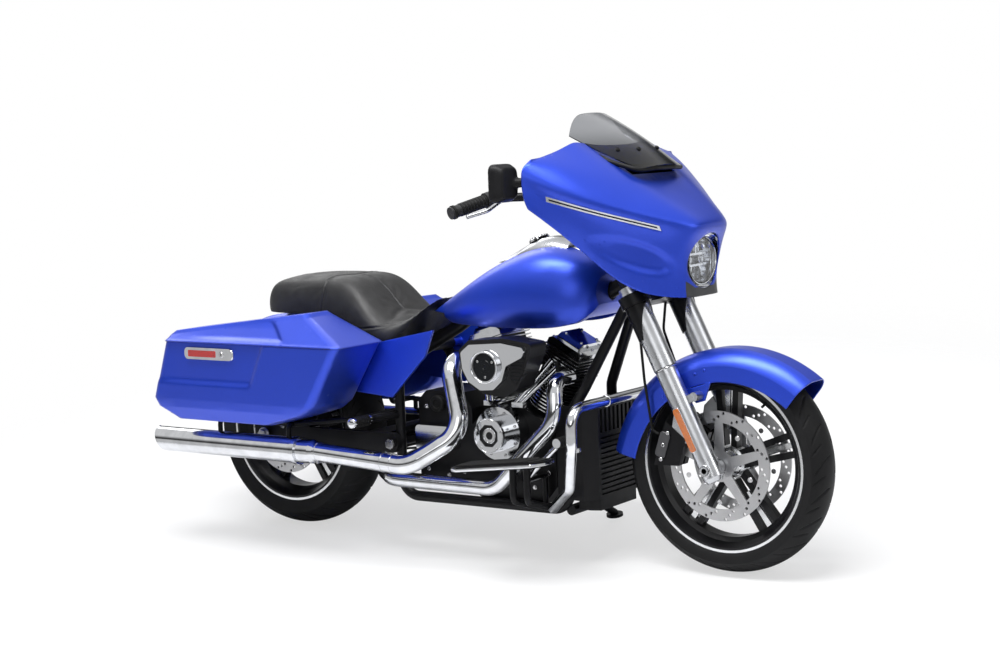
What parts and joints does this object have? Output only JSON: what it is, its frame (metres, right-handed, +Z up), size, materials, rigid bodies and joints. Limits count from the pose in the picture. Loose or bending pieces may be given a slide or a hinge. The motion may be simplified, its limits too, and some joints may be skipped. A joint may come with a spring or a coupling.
{
  "type": "touring cruiser motorcycle",
  "caption": "Touring cruiser motorcycle with fork fairing, V-twin engine, hard saddlebags and two-up seat, leaning on its side stand.",
  "frame": {"origin": "on the floor, midway between the two axles along the machine", "axes": "+X towards the front, +Y to the rider's left, +Z up; the machine leans to its left on its side stand"},
  "size_m": [2.3347, 1.021, 1.3311],
  "materials": {
    "blue_paint": "vivid blue satin metallic paint",
    "black_metal": "black powder coat",
    "black_cast": "black cast alloy with machined faces",
    "black_plastic": "black grained plastic",
    "chrome": "bright chrome plate",
    "silver_metal": "silver satin metal",
    "disc_steel": "ground brake disc steel",
    "tyre_rubber": "black road tyre rubber",
    "seat_leather": "black grained seat cover",
    "lamp_glass": "clear lamp lens",
    "belt_rubber": "black belt and hose rubber",
    "red_lens": "red lamp lens",
    "reflector": "bright lamp bowl",
    "smoked_screen": "smoked clear screen"
  },
  "bodies": {
    "root": {"rear_axle": "silver_metal", "rear_fender": "blue_paint", "plate_bracket": "black_metal", "tail_lamps": "red_lens", "frame": "black_metal", "swingarm": "black_metal", "rear_shocks": "black_metal", "rear_caliper": "black_metal", "engine_case": "black_metal", "cylinders": "black_metal", "rocker_covers": "chrome", "pushrod_tubes": "chrome", "engine_covers": "chrome", "air_cleaner": "black_metal", "drive_belt": "belt_rubber", "exhaust_right": "chrome", "exhaust_left": "chrome", "fuel_tank": "blue_paint", "tank_console": "silver_metal", "seat": "seat_leather", "saddlebag_left": "blue_paint", "saddlebag_right": "blue_paint", "bag_supports": "black_metal", "side_panels": "blue_paint", "radiator": "black_plastic", "engine_guard": "chrome", "foot_controls": "chrome"},
    "front_wheel": {"front_tyre": "tyre_rubber", "front_wheel": "black_cast", "front_discs": "disc_steel"},
    "rear_wheel": {"rear_tyre": "tyre_rubber", "rear_wheel": "black_cast", "rear_disc": "disc_steel", "rear_pulley": "black_cast"},
    "steering": {"front_axle": "silver_metal", "fork_legs": "silver_metal", "fork_covers": "silver_metal", "triple_clamps": "black_metal", "front_fender": "blue_paint", "front_calipers": "black_metal", "fork_shrouds": "black_metal", "brake_lines": "belt_rubber", "fairing": "blue_paint", "light_strips": "silver_metal", "headlamp": "reflector", "fairing_inner": "black_plastic", "windscreen": "smoked_screen", "mirrors": "black_plastic", "handlebar": "black_metal", "hand_controls": "black_plastic", "headlamp_lens": "lamp_glass", "screen_trim": "black_plastic"},
    "side_stand": {"side_stand": "black_metal"},
    "saddlebag_lid_left": {"saddlebag_lid_left": "blue_paint"},
    "saddlebag_lid_right": {"saddlebag_lid_right": "blue_paint"},
    "footboard_left": {"footboard_left": "black_metal"},
    "footboard_right": {"footboard_right": "black_metal"},
    "passenger_peg_left": {"passenger_peg_left": "chrome"},
    "passenger_peg_right": {"passenger_peg_right": "chrome"}
  },
  "joints": [
    {"name": "steering", "type": "hinge", "parent": "root", "child": "steering", "pos_m": [0.59161, 0.11846, 0.79389], "axis": [-0.4384, 0.1328, 0.8889], "range_deg": [-32, 32]},
    {"name": "front_wheel_spin", "type": "hinge", "parent": "steering", "child": "front_wheel", "pos_m": [0.8125, 0.04723, 0.31724], "axis": [0, 0.989, -0.1478], "continuous": true},
    {"name": "rear_wheel_spin", "type": "hinge", "parent": "root", "child": "rear_wheel", "pos_m": [-0.8125, 0.04841, 0.32516], "axis": [0, 0.989, -0.1478], "continuous": true},
    {"name": "side_stand_fold", "type": "hinge", "parent": "root", "child": "side_stand", "pos_m": [0.1525, 0.1803, 0.15226], "axis": [0.0256, 0.7163, 0.6973], "range_deg": [0, 93]},
    {"name": "saddlebag_lid_left_hinge", "type": "hinge", "parent": "root", "child": "saddlebag_lid_left", "pos_m": [-0.7125, 0.53198, 0.58402], "axis": [-1, 0, 0], "range_deg": [0, 80]},
    {"name": "footboard_left_fold", "type": "hinge", "parent": "root", "child": "footboard_left", "pos_m": [0.22932, 0.3076, 0.28691], "axis": [0.9925, 0.018, 0.1205], "range_deg": [0, 55]},
    {"name": "passenger_peg_left_fold", "type": "hinge", "parent": "root", "child": "passenger_peg_left", "pos_m": [-0.3125, 0.32268, 0.3878], "axis": [1, 0, 0], "range_deg": [0, 80]},
    {"name": "saddlebag_lid_right_hinge", "type": "hinge", "parent": "root", "child": "saddlebag_lid_right", "pos_m": [-0.7125, -0.33835, 0.71409], "axis": [1, 0, 0], "range_deg": [0, 80]},
    {"name": "footboard_right_fold", "type": "hinge", "parent": "root", "child": "footboard_right", "pos_m": [0.22932, -0.21064, 0.36436], "axis": [-0.9925, -0.018, -0.1205], "range_deg": [0, 55]},
    {"name": "passenger_peg_right_fold", "type": "hinge", "parent": "root", "child": "passenger_peg_right", "pos_m": [-0.3125, -0.19556, 0.46526], "axis": [-1, 0, 0], "range_deg": [0, 80]}
  ]
}
